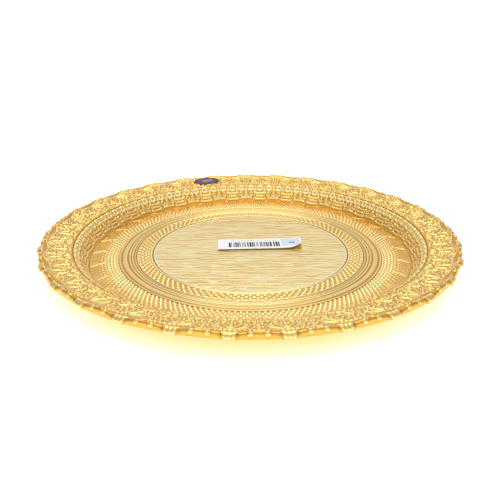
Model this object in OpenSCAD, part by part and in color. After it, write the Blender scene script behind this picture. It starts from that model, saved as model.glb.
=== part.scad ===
// Round brass serving tray: one pressed sheet with a sunk well, a sloping wall and a broad
// scalloped rim, a paper label lying in the well and an oval seal stuck on the rim.
// Origin: centre of the underside, +Z up. Millimetres.

/* [Tray] */
// Diameter over the tips of the edge lobes
tray_d = 330; // [322:1:350]
// Height from the table to the top of the rim
tray_h = 17.8; // [16:0.1:20]
// Thickness of the brass sheet
sheet_t = 1; // [0.8:0.1:1.2]
// Radius of the flat well floor, out to the foot of the wall
foot_r = 128.5; // [125:0.5:130]
// Angle of the wall, up from the table
wall_angle = 52; // [48:1:60]
// Angle of the rim, rising outward
rim_angle = 8; // [4:0.5:9]
// Inner radius of the bends at the foot and the crest of the wall
bend_r = 3; // [2:0.5:4]

/* [Edge] */
// Inner radius of the rolled-down outer edge
roll_r = 1.2; // [1:0.1:1.6]
// Number of lobes around the scalloped edge
lobe_count = 30; // [24:2:40]
// Azimuth of the first lobe, from +X towards +Y
lobe_turn = 1.8; // [0:0.1:12]
// How far each lobe stands out past the rolled edge
lobe_out = 1.6; // [1:0.1:2]
// Radius of each lobe's rounded outline
lobe_r = 5; // [4:0.5:6]
// Thickness of each lobe
lobe_t = 0.8; // [0.6:0.1:0.8]

/* [Well mouldings] */
// Radius of the ridge around the centre panel
panel_r = 79.1; // [70:0.1:84]
// Radii of the other round ridges
moulding_r = [92.9, 95.1, 97.2, 105.2]; // [92:0.1:108]
// Width of each round ridge
moulding_w = 1.6; // [1.2:0.1:1.8]
// Height of the raised ridges above the well floor
ridge_h = 0.6; // [0.3:0.1:0.8]
// Radius of the middle of the broad flat ridge
broad_r = 100.9; // [100.5:0.1:101.5]
// Width of the broad flat ridge across its top
broad_w = 3.2; // [2:0.1:4]

/* [Label] */
// Length of the paper label
label_l = 70; // [50:1:80]
// Width of the paper label
label_w = 23; // [20:1:35]
// Thickness of the paper
label_t = 0.2; // [0.15:0.05:0.3]
// Centre of the label in the well, X and Y
label_at = [8, 10]; // [-20:1:20]
// Turn of the label about Z
label_turn = 3; // [-10:0.5:10]
// Length of the label's end that has lifted
curl_l = 14; // [8:1:20]
// Radius of the lifted end's curve
curl_r = 60; // [50:1:90]

/* [Seal] */
// Length of the oval seal, along the rim
seal_l = 27; // [20:1:30]
// Width of the oval seal, across the rim
seal_w = 15; // [10:1:15]
// Thickness of the seal
seal_t = 0.4; // [0.3:0.1:0.6]
// Distance of the seal's middle from the tray's centre
seal_r = 150.5; // [150:0.5:152]
// Azimuth of the seal, from +X towards +Y
seal_azimuth = 107.5; // [0:0.5:359.5]

/* [Hidden] */
$fn = 180;
brass = [0.86, 0.68, 0.30];
paper = [0.96, 0.96, 0.94];
seal_ink = [0.22, 0.18, 0.32];
bend_steps = 8;

function direction(a) = [cos(a), sin(a)];
function reverse(list) = [for (i = [len(list) - 1 : -1 : 0]) list[i]];

// Points of a round bend of radius r about the centre c, from angle a to angle b
function bend(c, r, a, b) = [for (i = [0 : bend_steps]) c + r * direction(a + (b - a) * i / bend_steps)];

// Centre of the rolled edge, and the point where the rim's underside runs into it
edge_r = tray_d / 2 - lobe_out;
roll_c = [edge_r - sheet_t - roll_r, tray_h - sheet_t - roll_r];
rim_end = roll_c + roll_r * direction(rim_angle + 90);

// Crest: the corner where the wall's straight underside would meet the rim's
wall_run = (rim_end.y + (foot_r - rim_end.x) * tan(rim_angle))
    / (sin(wall_angle) - cos(wall_angle) * tan(rim_angle));
crest = [foot_r, 0] + wall_run * direction(wall_angle);
crest_start = crest - bend_r * tan((wall_angle - rim_angle) / 2) * direction(wall_angle);

// Centres of the two bends. The foot's lies above the sheet and the crest's below it.
foot_c = [foot_r - (bend_r + sheet_t) * tan(wall_angle / 2), bend_r + sheet_t];
crest_c = crest_start + bend_r * direction(wall_angle - 90);

// Points along the sheet from the foot of the wall to the start of the roll, on the surface
// that lies "up" above the underside, so that one function gives both faces of the sheet
function sheet_face(up) = concat(
    bend(foot_c, bend_r + sheet_t - up, -90, wall_angle - 90),
    bend(crest_c, bend_r + up, wall_angle + 90, rim_angle + 90),
    [roll_c + (roll_r + up) * direction(rim_angle + 90)]
);

// The same, with the rolled-down edge
function rolled_face(up) = concat(sheet_face(up), bend(roll_c, roll_r + up, rim_angle + 80, -10));

module sheet_section() {
    polygon(concat([[0, 0]], rolled_face(0), reverse(rolled_face(sheet_t)), [[0, sheet_t]]));
}

// Round-topped ring on the well floor, its base sunk half way into the sheet
module ridge_ring(r) {
    crown = [for (i = [0 : bend_steps])
        [r - moulding_w / 2 * cos(180 * i / bend_steps), sheet_t + ridge_h * sin(180 * i / bend_steps)]];
    rotate_extrude()
        polygon(concat([[r - moulding_w / 2, sheet_t / 2]], crown, [[r + moulding_w / 2, sheet_t / 2]]));
}

// Flat-topped ring on the well floor, with sloping sides
module broad_ring() {
    side = 0.5;
    half = broad_w / 2;
    rotate_extrude()
        polygon([
            [broad_r - half - side, sheet_t / 2],
            [broad_r - half - side, sheet_t],
            [broad_r - half, sheet_t + ridge_h],
            [broad_r + half, sheet_t + ridge_h],
            [broad_r + half + side, sheet_t],
            [broad_r + half + side, sheet_t / 2]
        ]);
}

// Rounded lobes that stand out level from the rolled edge, rooted in its sheet
module edge_lobes() {
    root_r = roll_c.x + roll_r + sheet_t / 4;
    lobe_z = roll_c.y + sheet_t / 4;
    intersection() {
        translate([0, 0, lobe_z])
            difference() {
                cylinder(h = lobe_t, r = tray_d / 2 + lobe_out);
                translate([0, 0, -lobe_t])
                    cylinder(h = 3 * lobe_t, r = root_r);
            }
        for (i = [0 : lobe_count - 1])
            rotate(lobe_turn + i * 360 / lobe_count)
                translate([tray_d / 2 - lobe_r, 0, 0])
                    cylinder(h = tray_h, r = lobe_r, $fn = 48);
    }
}

// The whole tray: one sheet, pressed and turned down at its edge
module pressed_tray() {
    color(brass)
        union() {
            rotate_extrude()
                sheet_section();
            edge_lobes();
            ridge_ring(panel_r);
            for (r = moulding_r)
                ridge_ring(r);
            broad_ring();
        }
}

// Paper label: flat along most of its length, with its far end lifted on a long curve
module barcode_label() {
    curl_a = curl_l / curl_r * 180 / PI;
    curl_c = [label_l - curl_l, curl_r];
    color(paper)
        translate([label_at.x, label_at.y, sheet_t])
            rotate(label_turn)
                translate([-label_l / 2, label_w / 2, 0])
                    rotate([90, 0, 0])
                        linear_extrude(height = label_w)
                            polygon(concat(
                                [[0, 0]],
                                bend(curl_c, curl_r, -90, curl_a - 90),
                                reverse(bend(curl_c, curl_r - label_t, -90, curl_a - 90)),
                                [[0, label_t]]
                            ));
}

// Oval seal: cut from a thin layer that follows the rim's slope
module oval_seal() {
    sides = 60;
    outline = [for (i = [0 : sides - 1])
        [seal_w / 2 * cos(360 * i / sides), seal_l / 2 * sin(360 * i / sides)]];
    color(seal_ink)
        intersection() {
            rotate_extrude()
                polygon(concat(sheet_face(sheet_t), reverse(sheet_face(sheet_t + seal_t))));
            rotate(seal_azimuth)
                translate([seal_r, 0, 0])
                    linear_extrude(height = 2 * tray_h)
                        polygon(outline);
        }
}

pressed_tray();
barcode_label();
oval_seal();
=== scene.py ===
"""Looks of the round brass serving tray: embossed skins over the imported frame, a paper label and
an oval seal, on a plain pale floor.

The tray is one pressed sheet. Its skin is built as a round plate and seven rings that meet edge
to edge, each a closed solid: the top carries the pressed relief along the surface normal and the
underside is plain.
Lengths are in millimetres until they become vertices, which are in metres.
"""

import math

import bpy
import numpy as np
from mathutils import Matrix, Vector


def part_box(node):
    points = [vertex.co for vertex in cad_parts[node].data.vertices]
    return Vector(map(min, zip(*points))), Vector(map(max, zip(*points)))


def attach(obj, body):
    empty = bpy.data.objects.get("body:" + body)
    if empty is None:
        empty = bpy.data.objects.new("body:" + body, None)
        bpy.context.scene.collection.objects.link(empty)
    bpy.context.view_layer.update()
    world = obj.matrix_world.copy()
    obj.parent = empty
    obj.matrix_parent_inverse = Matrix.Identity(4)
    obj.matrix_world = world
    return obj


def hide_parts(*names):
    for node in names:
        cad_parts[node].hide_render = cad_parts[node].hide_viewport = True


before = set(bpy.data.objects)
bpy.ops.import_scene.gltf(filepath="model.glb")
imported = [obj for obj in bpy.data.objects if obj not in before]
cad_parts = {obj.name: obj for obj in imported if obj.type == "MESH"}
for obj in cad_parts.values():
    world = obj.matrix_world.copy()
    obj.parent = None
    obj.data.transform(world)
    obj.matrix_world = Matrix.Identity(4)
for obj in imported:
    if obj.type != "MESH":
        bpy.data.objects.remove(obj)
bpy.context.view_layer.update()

MM = 0.001

# Section of the sheet, as in the frame
SHEET = 1.0
EDGE_R = 163.4
FOOT_R = 128.5
WALL_ANGLE = 52.0
RIM_ANGLE = 8.0
BEND_R = 3.0
ROLL_R = 1.2
TRAY_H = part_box("pressed_tray")[1].z / MM
ARC_STEPS = 60

# Pattern of the well
PANEL_R = 79.1
BAND_R = 92.1
FIELD_R = 105.9
FRINGE_R = 116.5
INNER_BEADS = 100
OUTER_BEADS = 170
BEAD_STEP = 2.45
INNER_BEAD_ROW_R = 82.4
OUTER_BEAD_ROW_R = 106.6
GROOVE = 0.4
LEAF_TIP_R = 115.0
LEAF_BASE_R = 129.5

# Round ridges of the well: radius, half width and height
RIDGES = ((92.9, 0.55, 0.3), (95.1, 0.95, 0.6), (97.2, 0.95, 0.6), (105.0, 0.9, 0.6))
# The broad flat ridge between them: inner radius, outer radius and height
BROAD_RIDGE = (98.9, 102.9, 0.6)
# Fine grooves beside the ridges: radius and half width
FINE_GROOVES = ((94.0, 0.3), (96.15, 0.3), (98.5, 0.45), (103.5, 0.5), (FIELD_R, 0.4))
FINE_DEPTH = 0.25

# Pattern of the wall and the rim, which repeats from lobe to lobe
PERIODS = 30
LOBE_TURN = 1.8
PERIOD_COLS = 72
LACE_COLS = PERIODS * PERIOD_COLS
SCALLOP = 1.3
CROWN_FOOT = 0.8

# Seeds of the random fields
MAIN_SEED = 7
WALL_SEED = 5
RIM_SEED = 11


# ---------------------------------------------------------------- profile of the sheet's top face

def direction(degrees):
    """Unit vector in the (r, z) plane."""
    return np.array([math.cos(math.radians(degrees)), math.sin(math.radians(degrees))])


def arc(centre, radius, start, end, side):
    """Points of an arc and their normals; side is 1 for normals that point away from the centre."""
    turns = [direction(start + (end - start) * i / ARC_STEPS) for i in range(ARC_STEPS + 1)]
    return [(centre + radius * d, side * d) for d in turns]


def sheet_path():
    """Points and normals along the top of the sheet from the centre to the turned edge, and where
    along it the bends at the foot and the crest, the rim and the roll start, and where it ends."""
    roll_c = np.array([EDGE_R - SHEET - ROLL_R, TRAY_H - SHEET - ROLL_R])
    rim_end = roll_c + ROLL_R * direction(RIM_ANGLE + 90)
    rise = math.tan(math.radians(RIM_ANGLE))
    wall = direction(WALL_ANGLE)
    run = (rim_end[1] + (FOOT_R - rim_end[0]) * rise) / (wall[1] - wall[0] * rise)
    crest = np.array([FOOT_R, 0.0]) + run * wall
    half_turn = math.tan(math.radians((WALL_ANGLE - RIM_ANGLE) / 2))
    crest_c = crest - BEND_R * half_turn * wall + BEND_R * direction(WALL_ANGLE - 90)
    half_foot = math.tan(math.radians(WALL_ANGLE / 2))
    foot_c = np.array([FOOT_R - (BEND_R + SHEET) * half_foot, BEND_R + SHEET])

    middle = [(np.array([0.0, SHEET]), np.array([0.0, 1.0]))]
    foot = arc(foot_c, BEND_R, -90, WALL_ANGLE - 90, -1)
    bend = arc(crest_c, BEND_R + SHEET, WALL_ANGLE + 90, RIM_ANGLE + 90, 1)
    roll = arc(roll_c, ROLL_R + SHEET, RIM_ANGLE + 90, -10, 1)
    stations = middle + foot + bend + roll
    points = np.array([p for p, _ in stations])
    normals = np.array([n for _, n in stations])
    steps = np.hypot(*np.diff(points, axis=0).T)
    along = np.concatenate([[0.0], np.cumsum(steps)])
    starts = np.cumsum([len(middle), len(foot), len(bend)])
    marks = {
        "foot": along[starts[0]],
        "crest": along[starts[1]],
        "rim": along[starts[2] - 1],
        "roll": along[starts[2]],
        "end": along[-1],
    }
    return along, points, normals, marks


ALONG, POINTS, NORMALS, MARKS = sheet_path()
WALL_FOOT = MARKS["foot"] + 1.4
WALL_TOP = (MARKS["crest"] + MARKS["rim"]) / 2
RIM_SPLIT = WALL_TOP + 12.0


def section_at(s):
    """Radius, height and normal of the top face at distances s along the path."""
    r, z, nr, nz = (np.interp(s, ALONG, column) for column in (*POINTS.T, *NORMALS.T))
    size = np.hypot(nr, nz)
    return r, z, nr / size, nz / size


# ---------------------------------------------------------------- relief

def smooth(x):
    """Smoothstep of x clipped to 0..1."""
    x = np.clip(x, 0.0, 1.0)
    return x * x * (3 - 2 * x)


def bump(x, half):
    """Round ridge of unit height and that half width, centred on x = 0."""
    return np.sqrt(np.clip(1 - (x / half) ** 2, 0.0, 1.0))


def soften(field, passes, wrap=True):
    """Averages a height field with its neighbours, a number of times. It wraps round in theta."""
    for _ in range(passes):
        down = np.vstack([field[:1], field[:-1]])
        up = np.vstack([field[1:], field[-1:]])
        field = (field * 2 + down + up) / 4
        if wrap:
            left, right = np.roll(field, 1, axis=1), np.roll(field, -1, axis=1)
        else:
            left = np.hstack([field[:, :1], field[:, :-1]])
            right = np.hstack([field[:, 1:], field[:, -1:]])
        field = (field * 2 + left + right) / 4
    return field


def value_noise(rng, x, y, cell_x, cell_y, span):
    """Smooth random field over the plane, about -1..1, with cells of the given size."""
    nx, ny = int(2 * span / cell_x) + 3, int(2 * span / cell_y) + 3
    grid = rng.uniform(-1, 1, (nx, ny))
    gx, gy = (x + span) / cell_x, (y + span) / cell_y
    ix, iy = np.floor(gx).astype(int), np.floor(gy).astype(int)
    fx, fy = smooth(gx - ix), smooth(gy - iy)
    low = grid[ix, iy] * (1 - fx) + grid[ix + 1, iy] * fx
    high = grid[ix, iy + 1] * (1 - fx) + grid[ix + 1, iy + 1] * fx
    return low * (1 - fy) + high * fy


def bead_lattice(s, theta, count, first_row):
    """Rows of round beads on sunk ground, every second row turned by half a pitch."""
    rows = np.cos(np.pi * (s - first_row) / BEAD_STEP)
    return 0.48 * np.clip(np.cos(count * theta) * rows, 0, 1) ** 0.7 - 0.1


class Lace:
    """Relief of one half period, built up from strokes. x runs round from the axis of an edge
    lobe to the axis between two lobes, and v runs along the sheet."""

    def __init__(self, s, start=0.0):
        share = np.arange(PERIOD_COLS // 2 + 1)[None, :] / PERIOD_COLS
        self.period = 2 * np.pi * section_at(s)[0][:, None] / PERIODS
        self.v = (s - start)[:, None] + 0 * share
        self.from_lobe = share * self.period
        self.from_gap = (0.5 - share) * self.period
        self.share = share + 0 * self.v
        self.height = np.zeros_like(self.v)

    def stroke(self, points, widths, height, gap=False):
        """Rounded ridge along points (x, v), as wide each side as widths, tapering between them.
        With gap, x is measured from the axis between two lobes."""
        points = np.array(points, float)
        widths = np.broadcast_to(np.array(widths, float), len(points))
        x = self.from_gap if gap else self.from_lobe
        nearest = np.full_like(x, np.inf)
        for (px, pv), w in zip(points, widths):
            nearest = np.minimum(nearest, ((x - px) ** 2 + (self.v - pv) ** 2) / w**2)
        self.height = np.maximum(self.height, height * np.clip(1 - nearest, 0, 1) ** 0.6)

    def line(self, start, end, widths, height, gap=False, count=16):
        """Straight stroke."""
        t = np.linspace(0, 1, count)[:, None]
        points = np.array(start) * (1 - t) + np.array(end) * t
        self.stroke(points, np.interp(t[:, 0], [0, 1], widths), height, gap)

    def curl(self, centre, radii, angles, widths, height, gap=False, count=34):
        """Scroll: an arc whose radius runs from radii[0] to radii[1] over those angles."""
        t = np.linspace(0, 1, count)
        a = np.radians(angles[0] + (angles[1] - angles[0]) * t)
        rad = radii[0] + (radii[1] - radii[0]) * t
        points = np.stack([centre[0] + rad * np.cos(a), centre[1] + rad * np.sin(a)], 1)
        self.stroke(points, np.interp(t, [0, 1], widths), height, gap)

    def dot(self, x, v, radius, height, gap=False):
        """Round bead."""
        self.stroke([(x, v)], radius, height, gap)

    def groove(self, v, half, depth):
        """Plain ring of that depth, where a piece may end."""
        blend = smooth(1 - np.abs(self.v - v) / half)
        self.height = self.height * (1 - blend) - depth * blend


def all_round(half_period):
    """A field over the whole circle, out of one half period mirrored and repeated."""
    column = np.arange(LACE_COLS) % PERIOD_COLS
    column = np.minimum(column, PERIOD_COLS - column)
    return half_period[:, column]


def filigree(lace, seed, cell, turns, depth):
    """Fine winding ridges all over the ground, like wirework."""
    rng = np.random.default_rng(seed)
    field = value_noise(rng, lace.from_lobe, lace.v, cell, cell, 40)
    lace.height += depth * np.cos(2 * np.pi * turns * field)


# Angles round the tray at which a ring's columns stand

def round_theta(count):
    """Evenly spaced angles from +X."""
    return np.arange(count) * 2 * np.pi / count


LACE_THETA = math.radians(LOBE_TURN) + round_theta(LACE_COLS)


# Relief of each zone, over distances s along the path and angles theta. Zones that repeat with
# the edge lobes always have their columns at LACE_THETA.

def inner_band_relief(s, theta):
    """Lattice of beads between two plain ridges, with a groove at each end."""
    s, theta = s[:, None], theta[None, :]
    beads = bead_lattice(s, theta, INNER_BEADS, INNER_BEAD_ROW_R)
    inside = smooth((s - 81.2) / 0.8) * smooth((90.9 - s) / 0.6)
    height = beads * inside
    height = height + 0.45 * bump(s - 80.4, 0.8) + 0.4 * bump(s - 91.1, 0.5)
    for groove_r in (PANEL_R, BAND_R):
        height = height - GROOVE * bump(s - groove_r, 0.6)
    return height


def moulding_relief(s, theta):
    """Plain round ridges, one of them broad and flat, with fine grooves between them."""
    s = s[:, None] + 0 * theta[None, :]
    height = -GROOVE * bump(s - BAND_R, 0.5)
    for ridge_r, half, rise in RIDGES:
        height = np.maximum(height, rise * bump(s - ridge_r, half))
    inner_r, outer_r, rise = BROAD_RIDGE
    broad = smooth((s - inner_r) / 0.6) * smooth((outer_r - s) / 0.6)
    height = np.maximum(height, rise * broad)
    for groove_r, half in FINE_GROOVES:
        height = height - FINE_DEPTH * bump(s - groove_r, half)
    return height


def field_relief(s, theta):
    """Outer beads, running under a fringe of pointed leaves whose tips face inward."""
    lace = Lace(s)
    off_axis = lace.share / 0.5
    outline_at = LEAF_TIP_R + (LEAF_BASE_R - LEAF_TIP_R) * (1 - (1 - off_axis) ** 2.6)
    depth_in = lace.v - outline_at
    vein = bump(lace.from_lobe, 0.8) * smooth((lace.v - LEAF_TIP_R - 2.5) / 2)
    ribs = np.cos(2 * np.pi * (depth_in - 1.2 * lace.from_lobe) / 2.9)
    leaves = all_round(0.2 + 0.05 * ribs * smooth(depth_in / 2) + 0.12 * vein)
    inside = all_round(smooth(depth_in / 0.9))
    outline = all_round(bump(depth_in + 0.2, 0.75))
    s = s[:, None]
    beads = bead_lattice(s, theta[None, :], OUTER_BEADS, OUTER_BEAD_ROW_R)
    fade = smooth((s - FIELD_R) / 0.5) * (1 - 0.6 * smooth((s - 114.0) / 10))
    height = beads * fade * (1 - inside) + leaves * inside - 0.22 * outline
    foot = smooth((s - 126.4) / 1.4)
    height = height * (1 - foot) - 0.05 * foot
    return height - FINE_DEPTH * bump(s - FIELD_R, 0.4)


def wall_relief(s, theta):
    """Ring beads under the crest, then shields and double bars down to the foot."""
    lace = Lace(s)
    lace.v = WALL_TOP - lace.v
    filigree(lace, WALL_SEED, 3.4, 2.2, 0.12)
    # Ring beads on a raised band, with drops between them
    lace.height = np.maximum(lace.height, 0.3 * bump(lace.v - 3.4, 2.6))
    third = lace.period.mean() / 3
    for x in (0.0, third):
        lace.curl((x, 3.5), (2.3, 2.3), (0, 360), (1.3, 1.3), 0.95)
        lace.dot(x, 3.5, 0.55, 0.3)
        lace.dot(x + third / 2, 1.3, 0.9, 0.6)
        lace.dot(x + third / 2, 5.4, 1.2, 0.8)
    # Double bars in a frame, below an edge lobe
    lace.line((-3.2, 9.3), (3.2, 9.3), (0.85, 0.85), 0.8)
    lace.line((-3.2, 12.1), (3.2, 12.1), (0.95, 0.95), 0.85)
    lace.line((5.0, 8.2), (5.0, 13.4), (0.8, 0.8), 0.6)
    lace.line((-4.6, 15.2), (4.6, 15.2), (0.8, 0.8), 0.65)
    # Shield, between two lobes
    lace.line((0, 8.2), (0, 12.0), (1.5, 3.3), 0.8, True)
    lace.line((-5.0, 14.0), (5.0, 14.0), (0.95, 0.95), 0.85, True)
    lace.curl((5.0, 10.2), (2.0, 1.2), (-100, 170), (0.7, 0.6), 0.65, True)
    for x in (8.2, 10.0):
        lace.dot(x, 8.6, 0.9, 0.6, True)
        lace.dot(x - 0.4, 14.6, 0.9, 0.6, True)
    lace.groove(0.0, 0.7, 0.3)
    lace.groove(WALL_TOP - WALL_FOOT, 1.1, 0.05)
    return all_round(lace.height)


def rim_relief(s, theta):
    """Lace with lyres between the edge lobes and palmettes behind them, a garland, and on the
    edge a crown at each lobe and twin beads between two."""
    lace = Lace(s, WALL_TOP)
    filigree(lace, RIM_SEED, 3.2, 2.4, 0.2)
    roll = MARKS["roll"] - WALL_TOP
    # Palmette behind each crown
    lace.line((0, 4.4), (0, 15.0), (0.6, 1.4), 0.6)
    lace.line((1.2, 15.6), (6.0, 9.4), (1.1, 0.8), 0.55)
    lace.line((2.2, 17.4), (9.6, 13.8), (0.9, 0.8), 0.55)
    lace.curl((4.6, 5.8), (2.2, 0.9), (-100, 210), (0.7, 0.5), 0.55)
    for x, v in ((2.1, 8.4), (0, 2.2), (8.8, 10.4), (5.4, 18.2), (8.4, 17.4), (2.4, 2.4)):
        lace.dot(x, v, 0.9, 0.5)
    # Lyre between two crowns
    lace.curl((5.6, 3.6), (1.0, 2.1), (250, 20), (0.6, 0.7), 0.6, True)
    lace.line((7.6, 4.6), (4.2, 10.4), (0.7, 0.7), 0.6, True)
    lace.line((4.2, 10.4), (6.8, 16.8), (0.7, 0.8), 0.6, True)
    lace.curl((4.9, 17.4), (1.9, 0.8), (0, 250), (0.7, 0.5), 0.55, True)
    lace.line((0, 9.4), (0, 15.6), (0.8, 1.5), 0.65, True)
    lace.line((1.7, 2.2), (1.7, 6.0), (0.55, 0.55), 0.5, True)
    for x, v in ((0, 4.0), (2.2, 8.6), (3.0, 5.2), (2.4, 13.6), (0, 18.4), (7.8, 8.6), (8.4, 13.0)):
        lace.dot(x, v, 0.85, 0.5, True)
    # Garland, with low smooth ground between it and the edge
    sag = roll - 2.9 - 1.3 * np.cos(2 * np.pi * lace.share)
    ground = smooth((lace.v - sag - 0.3) / 0.6)
    lace.height = lace.height * (1 - ground) - 0.3 * ground
    links = 0.35 + 0.15 * np.cos(24 * np.pi * lace.share)
    lace.height = np.maximum(lace.height, links * bump(lace.v - sag, 0.7))
    # Crown at each lobe: a fluted trapezoid, wider and lower at its top
    down = np.clip((lace.v - roll + 0.8) / 4.6, 0, 1)
    across = smooth((5.6 - 2.0 * down - lace.from_lobe) / 0.7)
    inside = across * smooth((lace.v - roll + 0.9) / 0.7)
    flutes = 0.12 * np.cos(2 * np.pi * lace.from_lobe / 2.6)
    lace.height += inside * (0.75 + flutes)
    # Twin beads and an arch between two lobes
    lace.dot(4.9, roll + 1.3, 1.7, 0.6, True)
    lace.curl((0, roll + 2.0), (3.0, 3.0), (-150, -30), (0.6, 0.6), 0.35, True)
    lace.groove(0.0, 0.7, 0.3)
    lace.groove(MARKS["end"] - WALL_TOP + 0.2, 0.7, 0.0)
    return all_round(lace.height)


def edge_swell(s, theta):
    """How far the rim's edge swells up between the crowns, and the crowns' feet stand out."""
    past = (s - MARKS["roll"])[:, None]
    swell = 0.5 - 0.5 * np.cos(PERIODS * (theta[None, :] - math.radians(LOBE_TURN)))
    between = SCALLOP * swell * smooth((past + 7.0) / 6.0) * smooth((3.2 - past) / 2.6)
    return between + CROWN_FOOT * smooth(1 - 2.6 * swell) * smooth((past - 1.2) / 2.0)


# ---------------------------------------------------------------- meshes

# Colour tone of the plain underside
UNDER_TONE = 0.42


def add_mesh(name, points, quads, tones=None, polygon=None, flat_from=None):
    """Mesh object from points in millimetres and quads. If given: a tone for each point, and one
    many-sided face. Faces from flat_from on are flat, so that shading breaks at their edges."""
    mesh = bpy.data.meshes.new(name)
    corners = np.asarray(quads, np.int32).ravel()
    starts = np.arange(0, len(corners), 4, dtype=np.int32)
    if polygon is not None:
        starts = np.append(starts, len(corners)).astype(np.int32)
        corners = np.append(corners, polygon).astype(np.int32)
    mesh.vertices.add(len(points))
    mesh.vertices.foreach_set("co", (np.asarray(points) * MM).astype(np.float32).ravel())
    mesh.loops.add(len(corners))
    mesh.loops.foreach_set("vertex_index", corners)
    mesh.polygons.add(len(starts))
    mesh.polygons.foreach_set("loop_start", starts)
    shading = np.ones(len(starts), bool)
    if flat_from is not None:
        shading[flat_from:] = False
    mesh.polygons.foreach_set("use_smooth", shading)
    mesh.update(calc_edges=True)
    mesh.validate()
    if tones is not None:
        tone = mesh.attributes.new("tone", "FLOAT", "POINT")
        tone.data.foreach_set("value", np.asarray(tones, np.float32).ravel())
    piece = bpy.data.objects.new(name, mesh)
    bpy.context.scene.collection.objects.link(piece)
    return piece


def grid_quads(first, rows, cols, wrap, flip=False):
    """Quads of a grid of vertices numbered row by row from first."""
    i = np.arange(rows - 1)[:, None]
    j = np.arange(cols if wrap else cols - 1)[None, :]
    a = first + i * cols + j
    b = a + cols
    c = first + (i + 1) * cols + (j + 1) % cols
    d = first + i * cols + (j + 1) % cols
    order = (a, d, c, b) if flip else (a, b, c, d)
    return np.stack([np.broadcast_to(x, a.shape).ravel() for x in order], 1)


def tone_of(height, tint, gain, valley_shade, passes, wrap=True):
    """Colour tone of relief: the tint, lighter on high ground and darker in narrow valleys. The
    darkening in narrow valleys is painted shade; the lightening of high ground is partly polish,
    partly painted light.
    """
    return tint + gain * height + valley_shade * (height - soften(height, passes, wrap))


def offset_surface(s, theta, lift):
    """Points at that distance from the top face, row by row, none of them below the table."""
    r, z, nr, nz = (column[:, None] for column in section_at(s))
    radius = r + lift * nr + 0 * theta
    level = np.maximum(z + lift * nz + 0 * theta, 0.0)
    return np.stack([radius * np.cos(theta), radius * np.sin(theta), level], -1).reshape(-1, 3)


def closing_strip(upper, lower):
    """Quads between two loops of vertices that stand over each other."""
    return np.stack([upper, lower, np.roll(lower, -1), np.roll(upper, -1)], 1)


def ring_piece(name, start, end, rows, theta, relief, tint, gain, valley_shade, passes, under_rows=5):
    """Closed ring of the sheet between two distances along its path. The tint is a number or a
    function of the distance."""
    s = np.linspace(start, end, rows)
    under_s = np.linspace(start, end, under_rows)
    height = relief(s, theta)
    top = offset_surface(s, theta, height + edge_swell(s, theta))
    under = offset_surface(under_s, theta, -SHEET)
    cols = len(theta)
    column = np.arange(cols)
    first_under = rows * cols
    last_top = (rows - 1) * cols
    last_under = first_under + (under_rows - 1) * cols
    faces = [
        grid_quads(0, rows, cols, True),
        grid_quads(first_under, under_rows, cols, True, True),
    ]
    sides = [
        closing_strip(column, first_under + column)[:, ::-1],
        closing_strip(last_top + column, last_under + column),
    ]
    tint_rows = tint(s)[:, None] if callable(tint) else tint
    tones = np.concatenate([
        tone_of(height, tint_rows, gain, valley_shade, passes).ravel(),
        np.full(under_rows * cols, UNDER_TONE),
    ])
    return add_mesh(
        name,
        np.concatenate([top, under]),
        np.concatenate(faces + sides),
        tones,
        flat_from=sum(len(quads) for quads in faces),
    )


# Waves of the centre panel's grain: spacing, depth, sway and the length of a sway
GRAIN_WAVES = ((5.1, 0.12, 2.1, 9), (3.7, 0.12, 1.6, 7), (2.6, 0.06, 0.9, 5))
PANEL_SPAN = 90
PANEL_ROWS = 520
PANEL_COLS = 172


def grain_relief(x, y, rng):
    """Fine wavy grain that runs along X, all of it below the floor's level."""
    height = np.zeros_like(x)
    for spacing, depth, sway, length in GRAIN_WAVES:
        drift = sway * value_noise(rng, x, y, length, 5, PANEL_SPAN)
        patches = value_noise(rng, x, y, length * 1.5, spacing * 0.9, PANEL_SPAN)
        strength = smooth(0.75 + 0.7 * patches)
        cut = np.clip(np.cos(2 * np.pi * (y + drift) / spacing), 0, 1) ** 1.5
        height -= depth * cut * strength
    return height


def centre_panel(rng):
    """Round plate: rows along the grain, each as long as the chord, closer towards both ends."""
    rows, cols = PANEL_ROWS, PANEL_COLS
    t = np.linspace(-np.pi / 2, np.pi / 2, rows + 2)[1:-1, None]
    x = PANEL_R * np.cos(t) * np.linspace(-1, 1, cols)[None, :]
    y = PANEL_R * np.sin(t) + 0 * x
    r = np.hypot(x, y)
    height = grain_relief(x, y, rng) * smooth((PANEL_R - 0.9 - r) / 1.0)
    height = height - GROOVE * smooth((r - PANEL_R + 0.6) / 0.6)
    top = np.stack([x, y, SHEET + height], -1)
    index = np.arange(rows * cols).reshape(rows, cols)
    rim = np.concatenate([index[0, :-1], index[:-1, -1], index[-1, :0:-1], index[:0:-1, 0]])
    base = top.reshape(-1, 3)[rim] * np.array([1, 1, 0])
    lower = rows * cols + np.arange(len(rim))
    face = grid_quads(0, rows, cols, False, True)
    quads = np.concatenate([face, closing_strip(rim, lower)])
    tint = 0.98 + 0.04 * value_noise(rng, x, y, 30, 6, PANEL_SPAN)
    # The grain's grooves darken the tone strongly: painted shade, deeper than their low relief
    # casts.
    tones = np.concatenate([
        tone_of(height, tint, 4.5, 2.0, 4, False).ravel(),
        np.full(len(rim), UNDER_TONE),
    ])
    points = np.concatenate([top.reshape(-1, 3), base])
    return add_mesh("centre_panel", points, quads, tones, lower[::-1], flat_from=len(face))


# ---------------------------------------------------------------- materials

def material(name):
    """New node material with its Principled shader, a maker of nodes and a maker of links."""
    made = bpy.data.materials.new(name)
    made.use_nodes = True
    nodes, links = made.node_tree.nodes, made.node_tree.links

    def node(kind, **values):
        n = nodes.new(kind)
        for key, value in values.items():
            if hasattr(n, key):
                setattr(n, key, value)
            else:
                n.inputs[key.replace("_", " ")].default_value = value
        return n

    return made, nodes["Principled BSDF"], node, links.new


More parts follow.
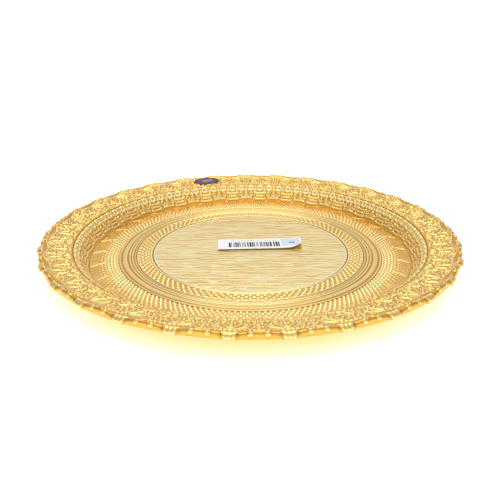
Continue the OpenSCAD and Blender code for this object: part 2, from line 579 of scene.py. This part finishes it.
def set_stops(shade, stops):
    """Gives a colour ramp node its stops (position, colour)."""
    elements = shade.color_ramp.elements
    while len(elements) < len(stops):
        elements.new(1.0)
    for element, (position, colour) in zip(elements, stops):
        element.position = position
        element.color = (*colour, 1.0)


def ramp(node, *stops):
    """Colour ramp node with those stops."""
    made = node("ShaderNodeValToRGB")
    set_stops(made, stops)
    return made


def brass_material():
    """Pressed brass: amber in the valleys, pale gold on the high ground, with a faint tarnish. The
    amber of the valleys is painted shade as well as patina, and the pale high ground is partly
    polish, partly a painted highlight.
    """
    made, shader, node, link = material("brass")
    tone = node("ShaderNodeAttribute", attribute_name="tone")
    place = node("ShaderNodeTexCoord")
    cloud = node("ShaderNodeTexNoise", Scale=38.0, Detail=4.0)
    link(place.outputs["Object"], cloud.inputs["Vector"])
    shift = node("ShaderNodeMath", operation="MULTIPLY_ADD")
    shift.inputs[1].default_value = 0.16
    shift.inputs[2].default_value = -0.08
    link(cloud.outputs["Fac"], shift.inputs[0])
    toned = node("ShaderNodeMath", operation="ADD")
    link(tone.outputs["Fac"], toned.inputs[0])
    link(shift.outputs[0], toned.inputs[1])
    colour = ramp(
        node,
        (0.0, (0.60, 0.31, 0.045)),
        (0.15, (0.75, 0.43, 0.085)),
        (0.3, (0.82, 0.52, 0.15)),
        (0.55, (0.90, 0.64, 0.25)),
        (0.8, (0.96, 0.77, 0.36)),
        (1.0, (1.0, 0.92, 0.58)),
    )
    link(toned.outputs[0], colour.inputs["Fac"])
    link(colour.outputs["Color"], shader.inputs["Base Color"])
    grain = node("ShaderNodeTexNoise", Scale=900.0, Detail=3.0)
    link(place.outputs["Object"], grain.inputs["Vector"])
    rough = node("ShaderNodeMapRange")
    rough.inputs["To Min"].default_value = 0.24
    rough.inputs["To Max"].default_value = 0.38
    link(grain.outputs["Fac"], rough.inputs["Value"])
    link(rough.outputs["Result"], shader.inputs["Roughness"])
    pits = node("ShaderNodeBump", Strength=0.12, Distance=0.0002)
    link(grain.outputs["Fac"], pits.inputs["Height"])
    link(pits.outputs["Normal"], shader.inputs["Normal"])
    shader.inputs["Metallic"].default_value = 1.0
    return made


def paper_material(name, dark, light, roughness):
    """Printed matt paper or ink: two close colours mixed by a fine fibre noise."""
    made, shader, node, link = material(name)
    place = node("ShaderNodeTexCoord")
    fibre = node("ShaderNodeTexNoise", Scale=600.0, Detail=5.0)
    link(place.outputs["Object"], fibre.inputs["Vector"])
    colour = ramp(node, (0.3, dark), (0.7, light))
    link(fibre.outputs["Fac"], colour.inputs["Fac"])
    link(colour.outputs["Color"], shader.inputs["Base Color"])
    relief = node("ShaderNodeBump", Strength=0.2, Distance=0.0001)
    link(fibre.outputs["Fac"], relief.inputs["Height"])
    link(relief.outputs["Normal"], shader.inputs["Normal"])
    shader.inputs["Roughness"].default_value = roughness
    return made


def foil_material():
    """Glossy violet foil: clouded and lighter in the middle, dark towards the edge, and a painted
    brown shade round the edge for its shaded side.
    """
    made, shader, node, link = material("seal_foil")
    place = node("ShaderNodeTexCoord")
    cloud = node("ShaderNodeTexNoise", Scale=230.0, Detail=3.0)
    link(place.outputs["Object"], cloud.inputs["Vector"])
    outward = node("ShaderNodeAttribute", attribute_name="tone")
    clouded = node("ShaderNodeMath", operation="MULTIPLY_ADD")
    clouded.inputs[1].default_value = 0.7
    link(cloud.outputs["Fac"], clouded.inputs[0])
    link(outward.outputs["Fac"], clouded.inputs[2])
    colour = ramp(
        node,
        (0.5, (0.29, 0.23, 0.22)),
        (0.85, (0.11, 0.08, 0.14)),
        (1.0, (0.04, 0.025, 0.06)),
    )
    link(clouded.outputs[0], colour.inputs["Fac"])
    # Painted shade: the outermost share of the oval turns brown, as the seal's shaded side.
    edge = node("ShaderNodeMapRange")
    edge.inputs["From Min"].default_value = 0.93
    edge.inputs["From Max"].default_value = 1.0
    link(outward.outputs["Fac"], edge.inputs["Value"])
    edge_shaded = node("ShaderNodeMix", data_type="RGBA")
    link(edge.outputs["Result"], edge_shaded.inputs["Factor"])
    link(colour.outputs["Color"], edge_shaded.inputs["A"])
    edge_shaded.inputs["B"].default_value = (0.16, 0.05, 0.03, 1.0)
    link(edge_shaded.outputs["Result"], shader.inputs["Base Color"])
    rough = node("ShaderNodeMapRange")
    rough.inputs["To Min"].default_value = 0.22
    rough.inputs["To Max"].default_value = 0.4
    link(cloud.outputs["Fac"], rough.inputs["Value"])
    link(rough.outputs["Result"], shader.inputs["Roughness"])
    return made


# ---------------------------------------------------------------- label and seal

LABEL_L = 70.0
LABEL_W = 23.0
LABEL_AT = (8.0, 10.0)
LABEL_TURN = 3.0
PAPER = 0.2
LABEL_GAP = 0.05
PATCH_STEP = 0.7

# The label's curled corner, its bowed far end and its raised front edge
FOLD_ALONG = 12.5
FOLD_ACROSS = 11.5
CURL_R = 8.5
END_LIFT_R = 300.0
END_LIFT_ALONG = 26.0
FRONT_LIFT = 0.9

# Print on the label: levels of the ink, and where things stand along it and across it
INK_LOW = PAPER - 0.02
INK_HIGH = PAPER + 0.03
BARS_ALONG = (9.0, 51.5)
BARS_ACROSS = (7.2, 18.6)
BAR_WIDTHS = (0.5, 0.8, 1.2, 1.7)
BAR_GAPS = (0.45, 0.7, 1.3)
DASHES_ALONG = (11.0, 50.0)
DASHES_ACROSS = (3.6, 4.8)
BLOCK = (53.0, 69.0, 1.2, 17.5)
MARK = (59.5, 64.5, 9.0, 12.5)


def label_point(u, w, up):
    """Place of a point of the label, u along it and w from its rear edge, up above its underside.
    The far end bows a little off the floor, the front edge stands free of it, and the front
    right corner has curled up."""
    u, w, up = (np.asarray(x, float) for x in (u, w, up))
    normal = np.array([1 / FOLD_ALONG, 1 / FOLD_ACROSS])
    size = np.hypot(*normal)
    normal = normal / size
    corner = (u - LABEL_L + FOLD_ALONG) * normal[0] + (w - LABEL_W) * normal[1]
    past = np.clip(corner, 0, None)
    turn = past / CURL_R
    level = (CURL_R - up) * (1 - np.cos(turn)) + up
    drawn_in = (CURL_R - up) * np.sin(turn) - past
    x = u + drawn_in * normal[0] - LABEL_L / 2
    y = LABEL_W / 2 - w - drawn_in * normal[1]
    bow = np.clip(u - LABEL_L + END_LIFT_ALONG, 0, None) ** 2 / (2 * END_LIFT_R)
    bow = bow + FRONT_LIFT * (w / LABEL_W) ** 2
    a = math.radians(LABEL_TURN)
    return np.stack([
        LABEL_AT[0] + x * math.cos(a) - y * math.sin(a),
        LABEL_AT[1] + x * math.sin(a) + y * math.cos(a),
        SHEET + LABEL_GAP + level + bow,
    ], -1)


def label_patch(u0, u1, w0, w1, low, high):
    """Closed thin solid over a rectangle of the label, between two levels above its underside."""
    nu, nw = (max(2, int(length / PATCH_STEP) + 1) for length in (u1 - u0, w1 - w0))
    u, w = np.meshgrid(np.linspace(u0, u1, nu), np.linspace(w0, w1, nw), indexing="ij")
    top = label_point(u, w, high).reshape(-1, 3)
    under = label_point(u, w, low).reshape(-1, 3)
    index = np.arange(nu * nw).reshape(nu, nw)
    rim = np.concatenate([index[:-1, 0], index[-1, :-1], index[:0:-1, -1], index[0, :0:-1]])
    quads = np.concatenate([
        grid_quads(0, nu, nw, False, True),
        grid_quads(nu * nw, nu, nw, False),
        closing_strip(rim, rim + nu * nw)[:, ::-1],
    ])
    return np.concatenate([top, under]), quads


def patch_piece(name, patches):
    """One object out of several label patches, with flat faces."""
    points, quads, count = [], [], 0
    for patch_points, patch_quads in patches:
        points.append(patch_points)
        quads.append(patch_quads + count)
        count += len(patch_points)
    return add_mesh(name, np.concatenate(points), np.concatenate(quads), flat_from=0)


def printed_row(along, across, next_width, next_gap):
    """Patches of ink one after the other, each as wide and as far from the next as those say."""
    patches, u = [], along[0]
    while u < along[1]:
        width = next_width()
        patches.append(label_patch(u, u + width, *across, INK_LOW, INK_HIGH))
        u += width + next_gap()
    return patches


def label_pieces(rng):
    """The paper, its row of bars, faint printed dashes over them and a pale block with a mark."""
    bars = printed_row(
        BARS_ALONG, BARS_ACROSS, lambda: rng.choice(BAR_WIDTHS), lambda: rng.choice(BAR_GAPS)
    )
    dashes = printed_row(
        DASHES_ALONG, DASHES_ACROSS, lambda: rng.uniform(0.8, 2.2), lambda: rng.uniform(0.5, 1.2)
    )
    patches = {
        "label_paper": [label_patch(0, LABEL_L, 0, LABEL_W, 0.0, PAPER)],
        "label_bars": bars,
        "label_dashes": dashes,
        "label_block": [label_patch(*BLOCK, INK_LOW, PAPER + 0.015)],
        "label_mark": [label_patch(*MARK, INK_LOW, INK_HIGH + 0.01)],
    }
    return {name: patch_piece(name, those) for name, those in patches.items()}


SEAL_L = 27.0
SEAL_W = 15.0
SEAL_R = 150.5
SEAL_AZIMUTH = 107.5
SEAL_UNDER = 0.25
SEAL_EDGE = 0.55


def oval_seal():
    """Oval foil on the lace, along the rim's slope: a low dome in a raised border."""
    rings, cols = 22, 96
    share = np.linspace(0, 1, rings)[:, None]
    angle = round_theta(cols)[None, :]
    out = SEAL_R + share * SEAL_W / 2 * np.cos(angle)
    round_it = share * SEAL_L / 2 * np.sin(angle)
    azimuth = math.radians(SEAL_AZIMUTH)
    x = out * math.cos(azimuth) - round_it * math.sin(azimuth)
    y = out * math.sin(azimuth) + round_it * math.cos(azimuth)
    r0, z0 = (v.item() for v in section_at(np.array(MARKS["rim"]))[:2])
    rise = math.tan(math.radians(RIM_ANGLE))
    base = z0 + (np.hypot(x, y) - r0) * rise
    border = 0.16 * bump(share - 0.9, 0.08)
    edge = smooth((1 - share) / 0.05)
    top = base + SEAL_EDGE + edge * (0.4 + 0.2 * (1 - share**2) + border)
    layers = [np.stack([x, y, level], -1).reshape(-1, 3) for level in (top, base + SEAL_UNDER)]
    outer = (rings - 1) * cols + np.arange(cols)
    quads = np.concatenate([
        grid_quads(0, rings, cols, True),
        grid_quads(rings * cols, rings, cols, True, True),
        closing_strip(outer, rings * cols + outer),
    ])
    points = np.concatenate(layers)
    tones = np.tile((share + 0 * angle).ravel(), 2)
    return add_mesh("seal_oval", points, quads, tones)


# ---------------------------------------------------------------- build

def wall_tint(s):
    """Painted shade on the wall: amber near the foot where it meets the floor, paler towards the
    crest, and a dark shade line painted along the crest's bend.
    """
    share = (s - WALL_FOOT) / (WALL_TOP - WALL_FOOT)
    crest_shade = bump(s - WALL_TOP, 1.0)
    return 0.18 + 0.18 * smooth((share - 0.45) / 0.3) - 0.3 * crest_shade


def leaf_tint(s):
    """A little paler at the tips of the leaves than at the foot of the wall: the darker amber
    towards the wall is a painted reflection of it.
    """
    return 0.3 - 0.05 * smooth((s - FRINGE_R) / 9.0)


def rim_tint(s):
    """Pale lace, with painted shade: amber on the crest's bend and on the low ground behind the
    edge.
    """
    ground = smooth((s - WALL_TOP - 18.0) / 2.0)
    crest_shade = bump(s - WALL_TOP, 1.2)
    return 0.23 - 0.10 * ground - 0.23 * crest_shade


rng = np.random.default_rng(MAIN_SEED)
brass_pieces = [
    centre_panel(rng),
    ring_piece(
        "inner_bead_band", PANEL_R, BAND_R, 60, round_theta(1200), inner_band_relief,
        tint=0.34, gain=1.15, valley_shade=0.7, passes=30,
    ),
    ring_piece(
        "ring_mouldings", BAND_R, FIELD_R, 84, round_theta(900), moulding_relief,
        tint=0.29, gain=0.5, valley_shade=1.0, passes=12,
    ),
    ring_piece(
        "outer_bead_band", FIELD_R, FRINGE_R, 38, LACE_THETA, field_relief,
        tint=0.44, gain=1.1, valley_shade=0.8, passes=12,
    ),
    ring_piece(
        "leaf_fringe", FRINGE_R, WALL_FOOT, 38, LACE_THETA, field_relief,
        tint=leaf_tint, gain=0.5, valley_shade=0.7, passes=10,
    ),
    ring_piece(
        "wall_ornament", WALL_FOOT, WALL_TOP, 38, LACE_THETA, wall_relief,
        tint=wall_tint, gain=0.33, valley_shade=1.0, passes=8, under_rows=7,
    ),
    ring_piece(
        "rim_lace", WALL_TOP, RIM_SPLIT, 38, LACE_THETA, rim_relief,
        tint=rim_tint, gain=0.37, valley_shade=1.05, passes=8,
    ),
    ring_piece(
        "rim_edge", RIM_SPLIT, MARKS["end"], 38, LACE_THETA, rim_relief,
        tint=rim_tint, gain=0.38, valley_shade=1.0, passes=8, under_rows=8,
    ),
]
brass = brass_material()
for piece in brass_pieces:
    piece.data.materials.append(brass)
    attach(piece, "root")
    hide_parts("pressed_tray")

label = label_pieces(rng)
inks = {
    "label_paper": paper_material("label_paper", (0.92, 0.92, 0.92), (0.99, 0.99, 0.98), 0.75),
    "label_bars": paper_material("bar_ink", (0.008, 0.007, 0.01), (0.03, 0.027, 0.03), 0.6),
    "label_dashes": paper_material("dash_ink", (0.38, 0.38, 0.40), (0.5, 0.5, 0.52), 0.6),
    "label_block": paper_material("block_ink", (0.62, 0.72, 0.80), (0.74, 0.81, 0.87), 0.6),
    "label_mark": paper_material("mark_ink", (0.20, 0.36, 0.66), (0.32, 0.48, 0.76), 0.6),
}
for name, piece in label.items():
    piece.data.materials.append(inks[name])
    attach(piece, "root")
    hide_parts("barcode_label")

seal = oval_seal()
seal.data.materials.append(foil_material())
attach(seal, "root")
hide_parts("oval_seal")


# ---------------------------------------------------------------- floor, light and camera

# Radii over which the floor's painted glow of brass-coloured light fades to the plain floor
GLOW_INNER_R = 135.0
GLOW_OUTER_R = 168.0


def floor():
    """Plain pale floor, as bright as a lit table, with a painted glow round the tray: a warm
    emission ring that stands in for the light the brass throws on the table.
    """
    half = 6.0
    mesh = bpy.data.meshes.new("floor")
    level = -0.0002
    corners = [(x * half, y * half, level) for x, y in ((-1, -1), (1, -1), (1, 1), (-1, 1))]
    mesh.from_pydata(corners, [], [(0, 1, 2, 3)])
    plane = bpy.data.objects.new("floor", mesh)
    bpy.context.scene.collection.objects.link(plane)
    made, shader, node, link = material("floor")
    place = node("ShaderNodeTexCoord")
    distance = node("ShaderNodeVectorMath", operation="LENGTH")
    link(place.outputs["Object"], distance.inputs[0])
    ring = node("ShaderNodeMapRange")
    ring.inputs["From Min"].default_value = GLOW_INNER_R * MM
    ring.inputs["From Max"].default_value = GLOW_OUTER_R * MM
    link(distance.outputs["Value"], ring.inputs["Value"])
    painted_glow = ramp(
        node,
        (0.0, (0.78, 0.40, 0.12)),
        (0.27, (0.80, 0.465, 0.22)),
        (0.55, (0.82, 0.565, 0.39)),
        (0.8, (0.84, 0.64, 0.56)),
        (1.0, (0.84, 0.84, 0.84)),
    )
    link(ring.outputs["Result"], painted_glow.inputs["Fac"])
    link(painted_glow.outputs["Color"], shader.inputs["Emission Color"])
    shader.inputs["Emission Strength"].default_value = 1.0
    cloud = node("ShaderNodeTexNoise", Scale=2.0)
    colour = ramp(node, (0.0, (0.78, 0.78, 0.78)), (1.0, (0.82, 0.82, 0.82)))
    link(cloud.outputs["Fac"], colour.inputs["Fac"])
    link(colour.outputs["Color"], shader.inputs["Base Color"])
    shader.inputs["Roughness"].default_value = 0.9
    shader.inputs["Specular IOR Level"].default_value = 0.0
    mesh.materials.append(made)


def area_light(name, place, size, power):
    """Rectangular softbox that faces the tray."""
    data = bpy.data.lights.new(name, "AREA")
    data.shape = "RECTANGLE"
    data.size, data.size_y = size
    data.energy = power
    lamp = bpy.data.objects.new(name, data)
    lamp.location = place
    lamp.rotation_mode = "QUATERNION"
    lamp.rotation_quaternion = (-Vector(place)).to_track_quat("-Z", "Y")
    bpy.context.scene.collection.objects.link(lamp)


# Grey levels of the studio against a coordinate of the direction, as a share of -1 to 1
WORLD_BY_HEIGHT = (
    (0.5, 1.3), (0.58, 1.3), (0.63, 0.6), (0.685, 0.6), (0.72, 1.0), (0.755, 1.0), (0.82, 0.54),
    (0.9, 0.8), (1.0, 0.75),
)
WORLD_BY_DEPTH = ((0.0, 1.3), (0.25, 1.25), (0.4, 0.75), (0.55, 0.75), (0.8, 0.75), (1.0, 1.0))


def world_ramp(nodes, link, source, stops):
    """Grey level that follows one coordinate of the direction."""
    spread = nodes.new("ShaderNodeMapRange")
    spread.inputs["From Min"].default_value = -1.0
    link(source, spread.inputs["Value"])
    shade = nodes.new("ShaderNodeValToRGB")
    set_stops(shade, [(position, (level, level, level)) for position, level in stops])
    link(spread.outputs["Result"], shade.inputs["Fac"])
    return shade.outputs["Color"]


def white_world():
    """White studio in soft level bands, brightest at the horizon and on the viewer's side."""
    world = bpy.data.worlds.new("studio")
    world.use_nodes = True
    nodes, link = world.node_tree.nodes, world.node_tree.links.new
    place = nodes.new("ShaderNodeTexCoord")
    split = nodes.new("ShaderNodeSeparateXYZ")
    link(place.outputs["Generated"], split.inputs[0])
    height = world_ramp(nodes, link, split.outputs["Z"], WORLD_BY_HEIGHT)
    depth = world_ramp(nodes, link, split.outputs["Y"], WORLD_BY_DEPTH)
    both = nodes.new("ShaderNodeMix")
    both.data_type = "RGBA"
    both.blend_type = "MULTIPLY"
    both.inputs["Factor"].default_value = 1.0
    link(height, both.inputs["A"])
    link(depth, both.inputs["B"])
    link(both.outputs["Result"], nodes["Background"].inputs["Color"])
    nodes["Background"].inputs["Strength"].default_value = 1.1
    bpy.context.scene.world = world


def camera():
    """Camera at the photograph's height and distance, looking along +Y."""
    elevation, distance = math.radians(22.8), 0.4794
    aim = Vector((0, 0, SHEET * MM))
    data = bpy.data.cameras.new("camera")
    data.lens = 42.0
    data.shift_x = -0.0005
    data.shift_y = -0.0022
    data.clip_start, data.clip_end = 0.01, 50.0
    view = bpy.data.objects.new("camera", data)
    view.location = aim + distance * Vector((0, -math.cos(elevation), math.sin(elevation)))
    view.rotation_mode = "QUATERNION"
    view.rotation_quaternion = (aim - view.location).to_track_quat("-Z", "Y")
    bpy.context.scene.collection.objects.link(view)
    bpy.context.scene.camera = view


floor()
white_world()
area_light("overhead_softbox", (0.0, 0.45, 1.1), (0.8, 0.5), 4.0)
camera()
bpy.context.scene.view_settings.view_transform = "Standard"
